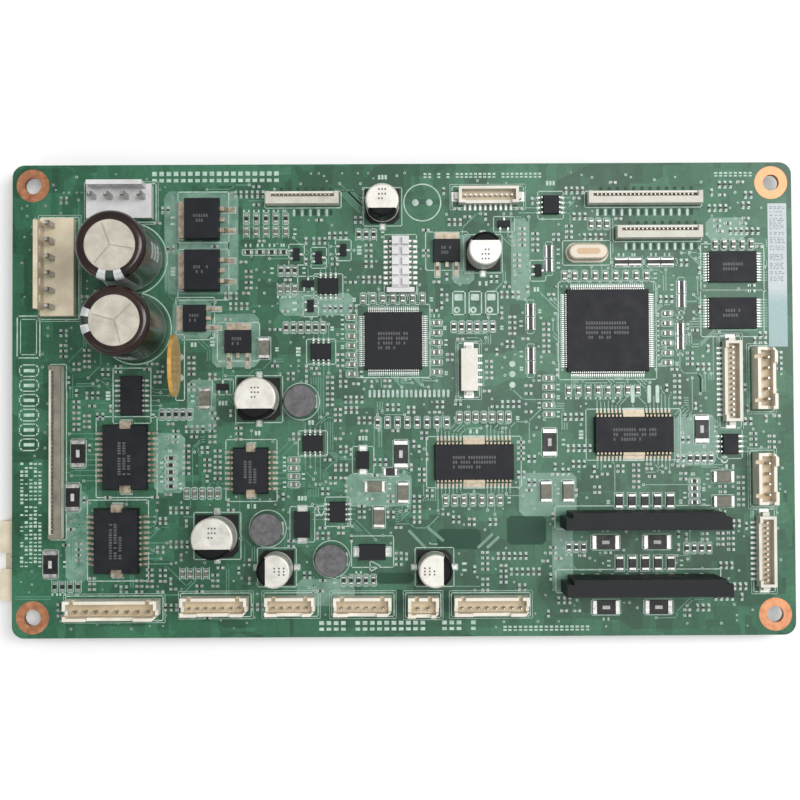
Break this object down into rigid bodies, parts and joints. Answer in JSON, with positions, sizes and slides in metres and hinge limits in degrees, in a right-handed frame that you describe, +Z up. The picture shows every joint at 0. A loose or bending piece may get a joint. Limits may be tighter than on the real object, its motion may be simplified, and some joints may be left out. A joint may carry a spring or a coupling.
{
  "type": "servo driver board",
  "caption": "Green circuit board for driving servo and stepper motors, with chips, upright capacitors, ribbon sockets and shrouded headers along its edges.",
  "frame": {"origin": "centre of the four mounting holes, on the board's underside", "axes": "+Z up through the component side, +X along the long side, +Y towards the edge with the three ribbon sockets"},
  "size_m": [0.1933, 0.115, 0.0327],
  "materials": {
    "board_laminate": "green solder mask over glass laminate",
    "ring_copper": "bare copper ring",
    "label_paper": "matte label",
    "can_aluminium": "brushed drawn can",
    "sleeve_brown": "dark brown shrink sleeve",
    "seal_rubber": "matte",
    "tinned_metal": "tinned",
    "black_plastic": "moulded",
    "cream_plastic": "moulded nylon",
    "white_plastic": "moulded nylon",
    "ivory_plastic": "moulded nylon",
    "tan_plastic": "moulded nylon",
    "module_epoxy": "fine moulded texture",
    "chip_epoxy": "fine moulded texture",
    "ferrite": "sintered dark grey",
    "resistor_film": "glazed black",
    "capacitor_ceramic": "fired brown",
    "fuse_coating": "orange-yellow dipped epoxy",
    "crystal_steel": "drawn lid"
  },
  "bodies": {
    "board": {"bulk_capacitor_1_can": "can_aluminium", "bulk_capacitor_1_sleeve": "sleeve_brown", "bulk_capacitor_2_can": "can_aluminium", "bulk_capacitor_2_sleeve": "sleeve_brown", "bulk_capacitor_seals": "seal_rubber", "chip_capacitor_bodies": "capacitor_ceramic", "chip_part_terminals": "tinned_metal", "chip_resistor_bodies": "resistor_film", "circuit_board": "board_laminate", "crystal_can": "crystal_steel", "debug_header_housing": "white_plastic", "diode_bodies": "chip_epoxy", "driver_chip_leads": "tinned_metal", "driver_header_2way": "cream_plastic", "driver_header_4way": "cream_plastic", "driver_header_5way": "cream_plastic", "driver_header_8way": "cream_plastic", "driver_header_pins": "tinned_metal", "driver_module_bodies": "module_epoxy", "driver_module_pins": "tinned_metal", "fine_pitch_header_contacts": "tinned_metal", "fine_pitch_header_housings": "ivory_plastic", "identification_label": "label_paper", "main_processor_body": "chip_epoxy", "main_processor_leads": "tinned_metal", "memory_chip_bodies": "chip_epoxy", "motion_controller_body": "chip_epoxy", "motion_controller_leads": "tinned_metal", "motor_driver_bodies": "chip_epoxy", "mounting_hole_rings": "ring_copper", "power_header_4way": "white_plastic", "power_header_6way": "cream_plastic", "power_header_pins": "tinned_metal", "power_inductor_cores": "ferrite", "power_transistor_bodies": "chip_epoxy", "power_transistor_tabs": "tinned_metal", "resettable_fuse_disc": "fuse_coating", "ribbon_socket_1_housing": "ivory_plastic", "ribbon_socket_2_housing": "ivory_plastic", "ribbon_socket_3_housing": "ivory_plastic", "ribbon_socket_4_housing": "ivory_plastic", "ribbon_socket_contacts": "tinned_metal", "signal_header_5way": "cream_plastic", "signal_header_6way": "cream_plastic", "signal_header_7way": "cream_plastic", "signal_header_8way": "cream_plastic", "signal_header_pins": "tinned_metal", "small_chip_bodies": "chip_epoxy", "small_chip_leads": "tinned_metal", "smd_capacitor_bases": "black_plastic", "smd_capacitor_cans": "can_aluminium", "stepper_driver_bodies": "chip_epoxy", "surface_part_terminals": "tinned_metal", "underside_receptacle_contacts": "tinned_metal", "underside_receptacle_housing": "cream_plastic", "wire_leads": "tinned_metal"},
    "ribbon_slider_1": {"ribbon_socket_1_slider": "tan_plastic"},
    "ribbon_slider_2": {"ribbon_socket_2_slider": "tan_plastic"},
    "ribbon_slider_3": {"ribbon_socket_3_slider": "tan_plastic"},
    "ribbon_slider_4": {"ribbon_socket_4_slider": "tan_plastic"}
  },
  "joints": [
    {"name": "ribbon_slider_1_lift", "type": "slide", "parent": "board", "child": "ribbon_slider_1", "axis": [0, 0, 1], "range_m": [0, 0.0012]},
    {"name": "ribbon_slider_2_lift", "type": "slide", "parent": "board", "child": "ribbon_slider_2", "axis": [0, 0, 1], "range_m": [0, 0.0012]},
    {"name": "ribbon_slider_3_lift", "type": "slide", "parent": "board", "child": "ribbon_slider_3", "axis": [0, 0, 1], "range_m": [0, 0.0012]},
    {"name": "ribbon_slider_4_lift", "type": "slide", "parent": "board", "child": "ribbon_slider_4", "axis": [0, 0, 1], "range_m": [0, 0.0012]}
  ]
}
